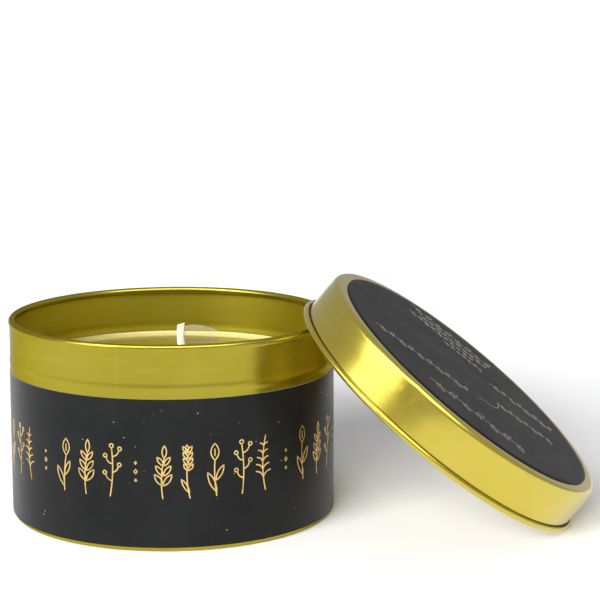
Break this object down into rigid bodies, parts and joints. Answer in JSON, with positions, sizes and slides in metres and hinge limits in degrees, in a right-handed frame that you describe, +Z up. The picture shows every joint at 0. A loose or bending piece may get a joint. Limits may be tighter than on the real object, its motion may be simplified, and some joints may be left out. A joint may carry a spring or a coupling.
{
  "type": "candle tin",
  "caption": "Round drawn metal candle tin with a slip lid leaning on its rim, poured wax, a central wick and wrap-around and lid labels.",
  "frame": {"origin": "on the tin's vertical axis, at the level of the standing ring it rests on; the recessed base panel lies 0.6 mm above", "axes": "+Z up along the tin's axis; +X towards the side where the lid leans; +Y away from the front"},
  "size_m": [0.1385, 0.0894, 0.0574],
  "materials": {
    "gold_lacquer": "satin",
    "black_label": "matte",
    "candle_wax": "satin",
    "wick_cotton": "matte",
    "sustainer_steel": "satin",
    "adhesive_foam": "matte"
  },
  "bodies": {
    "tin": {"tin_body": "gold_lacquer", "body_label": "black_label", "wax": "candle_wax", "wick": "wick_cotton", "wick_sustainer": "sustainer_steel", "wick_adhesive_pad": "adhesive_foam"},
    "lid": {"lid_shell": "gold_lacquer", "lid_label": "black_label"}
  },
  "joints": [
    {"name": "lid_lift", "type": "slide", "parent": "tin", "child": "lid", "axis": [0, 0, 1], "range_m": [0, 0.06]}
  ]
}
